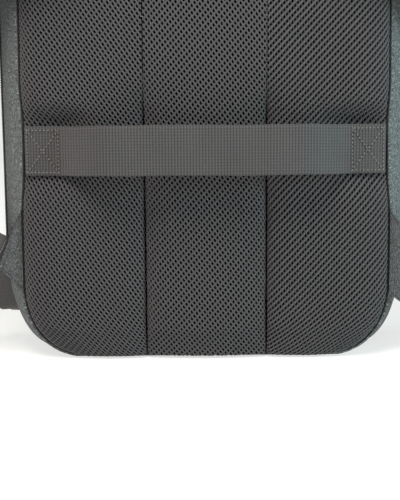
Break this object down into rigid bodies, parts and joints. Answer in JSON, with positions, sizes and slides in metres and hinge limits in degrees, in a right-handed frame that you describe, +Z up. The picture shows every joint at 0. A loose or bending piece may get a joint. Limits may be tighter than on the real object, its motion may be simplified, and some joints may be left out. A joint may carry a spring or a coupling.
{
  "type": "laptop backpack",
  "caption": "Upright rounded backpack with a padded mesh back, a luggage strap across it, a zipped cloth body, padded shoulder straps and a carrying handle.",
  "frame": {"origin": "middle of the flat base, which rests on the floor", "axes": "+Z up, -Y towards the wearer's back, +X to the right seen from the wearer's side"},
  "size_m": [0.5052, 0.1953, 0.4868],
  "materials": {
    "heather_cloth": "grey woven polyester melange",
    "spacer_mesh": "dark grey knitted spacer mesh over foam",
    "webbing": "dark grey ribbed woven webbing",
    "binding": "black woven seam binding",
    "zip_tape": "black zip tape and coil",
    "lock_plastic": "black moulded acetal",
    "slider_metal": "dark plated zinc casting"
  },
  "bodies": {
    "root": {"back_panel": "spacer_mesh", "back_binding": "binding", "yoke_band": "heather_cloth", "rear_gusset": "heather_cloth", "main_zip": "zip_tape", "front_gusset": "heather_cloth", "base_panel": "heather_cloth", "front_panel_lower": "heather_cloth", "front_zip": "zip_tape", "front_panel_upper": "heather_cloth", "main_zip_slider_left": "slider_metal", "main_zip_slider_right": "slider_metal", "front_zip_slider": "slider_metal", "luggage_strap": "webbing", "strap_wing_left": "heather_cloth", "strap_webbing_left": "webbing", "ladder_lock_left": "lock_plastic", "shoulder_strap_left": "heather_cloth", "strap_wing_right": "heather_cloth", "strap_webbing_right": "webbing", "ladder_lock_right": "lock_plastic", "shoulder_strap_right": "heather_cloth", "haul_handle": "webbing"}
  },
  "joints": []
}
